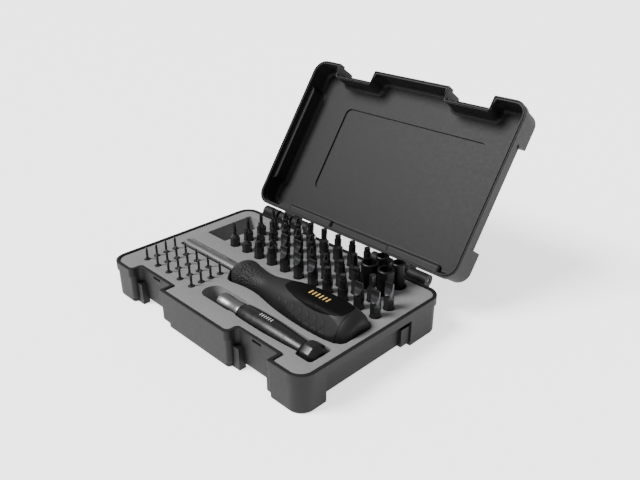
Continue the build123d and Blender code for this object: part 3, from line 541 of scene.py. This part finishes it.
def pen_nose():
    """The metal collar at the front: slightly waisted, with a hexagonal socket."""
    x0, x1 = NOSE_SPAN
    spots = [x0 + (x1 - x0) * k / NOSE_STEPS for k in range(NOSE_STEPS + 1)]
    rows = [(x, lambda a: facet(SOCKET_ROUND, SOCKET_HALF, 6, a, 0.01)) for x in (SOCKET_END, NOSE_FRONT)]
    waist = [(x, NOSE_LINE(x)) for x in spots]
    rows += plain_rows((*NOSE_FRONT_ROWS, *waist, *NOSE_BACK_ROWS))
    nose = pen_round.shell("collar", rows, PEN_COLUMNS, MATERIALS["satin_silver"])
    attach(nose, "precision")
    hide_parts("precision_nose")


CAP_COLUMNS = 120
CAP_SIDES = 10
CAP_FLAT = 0.962
CAP_BLEND = 0.05
CAP_HUB_R = 4


def cap_radius(radius, angle):
    """The cap is faceted, and round towards its middle."""
    return facet(radius, radius * CAP_FLAT, CAP_SIDES, angle, CAP_BLEND) if radius > CAP_HUB_R else radius


def pen_cap():
    """The faceted cap that turns on the end of the barrel."""
    rows = [(x, lambda a, r=r: cap_radius(r, a)) for x, r in CAP_ROWS]
    cap = pen_round.shell("swivel_cap", rows, CAP_COLUMNS, MATERIALS["gloss_black"], 22.0)
    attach(cap, "cap")
    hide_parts("precision_cap")


WHITE_LIFT = 0.05


def white_mark():
    """A short row of even upright white bars, where the real tool has print."""
    mark = pen_round.strokes("white_mark", bars(38.0, 50.0, 2.0, 0.6, 1.2), WHITE_LIFT, WHITE)
    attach(mark, "precision")


# ---------------------------------------------------------------- foam
FOAM_EDGE = 0.35


def soft_foam():
    """The foam insert with its cut edges slightly rounded."""
    bm = bmesh.new()
    bm.from_mesh(frame["nodes"]["foam_insert"].data)
    bmesh.ops.remove_doubles(bm, verts=bm.verts, dist=1e-6)
    bmesh.ops.dissolve_limit(bm, angle_limit=radians(1.0), verts=bm.verts, edges=bm.edges)
    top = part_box("foam_insert")[1][2]
    rims = [
        e for e in bm.edges
        if all(abs(v.co.z - top) < 1e-5 for v in e.verts) and len(e.link_faces) == 2
        and any(abs(f.normal.z) < 0.5 for f in e.link_faces)
    ]
    bmesh.ops.bevel(
        bm, geom=rims, offset=FOAM_EDGE * MM, segments=3, profile=0.5, affect="EDGES", clamp_overlap=True,
    )
    bmesh.ops.triangulate(bm, faces=[f for f in bm.faces if len(f.verts) > 4])
    foam = finished("foam_block", bm, MATERIALS["foam"], 50.0)
    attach(foam, "base")
    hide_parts("foam_insert")


large_grip()
label_panel()
gold_mark()
pen_body()
pen_nose()
pen_cap()
white_mark()
soft_foam()


# ---------------------------------------------------------------- camera, light, floor
def camera():
    """The set seen from its right front corner, a little above."""
    data = bpy.data.cameras.new("camera")
    data.lens = 37.62
    data.sensor_width = 36.0
    data.clip_start = 0.01
    made = bpy.data.objects.new("camera", data)
    made.location = (0.30983, -0.25989, 0.25504)
    made.rotation_euler = (radians(90.0 - 26.53), radians(0.03), radians(45.0))
    bpy.context.collection.objects.link(made)
    bpy.context.scene.camera = made


def studio():
    """A white surrounding and one broad soft light from the left front."""
    world = bpy.data.worlds.new("studio")
    bpy.context.scene.world = world
    world.use_nodes = True
    back = world.node_tree.nodes["Background"]
    back.inputs["Color"].default_value = (1.0, 1.0, 1.0, 1.0)
    back.inputs["Strength"].default_value = 0.62
    data = bpy.data.lights.new("key", "SUN")
    data.energy = 6.0
    data.angle = radians(28.0)
    key = bpy.data.objects.new("key", data)
    key.rotation_euler = Vector((0.42, 0.62, -0.85)).to_track_quat("-Z", "Y").to_euler()
    bpy.context.collection.objects.link(key)


def floor():
    """A white floor that the set casts its shadow on."""
    size = 14.0
    mesh = bpy.data.meshes.new("floor")
    corners = [(-size, -size, 0), (size, -size, 0), (size, size, 0), (-size, size, 0)]
    mesh.from_pydata(corners, [], [(0, 1, 2, 3)])
    made = bpy.data.objects.new("floor", mesh)
    look = Look("floor", (0.94, 0.94, 0.94), 0.8, Emission_Color=(1.0, 1.0, 1.0, 1.0), Emission_Strength=1.5)
    mesh.materials.append(look.mat)
    bpy.context.collection.objects.link(made)


camera()
studio()
floor()
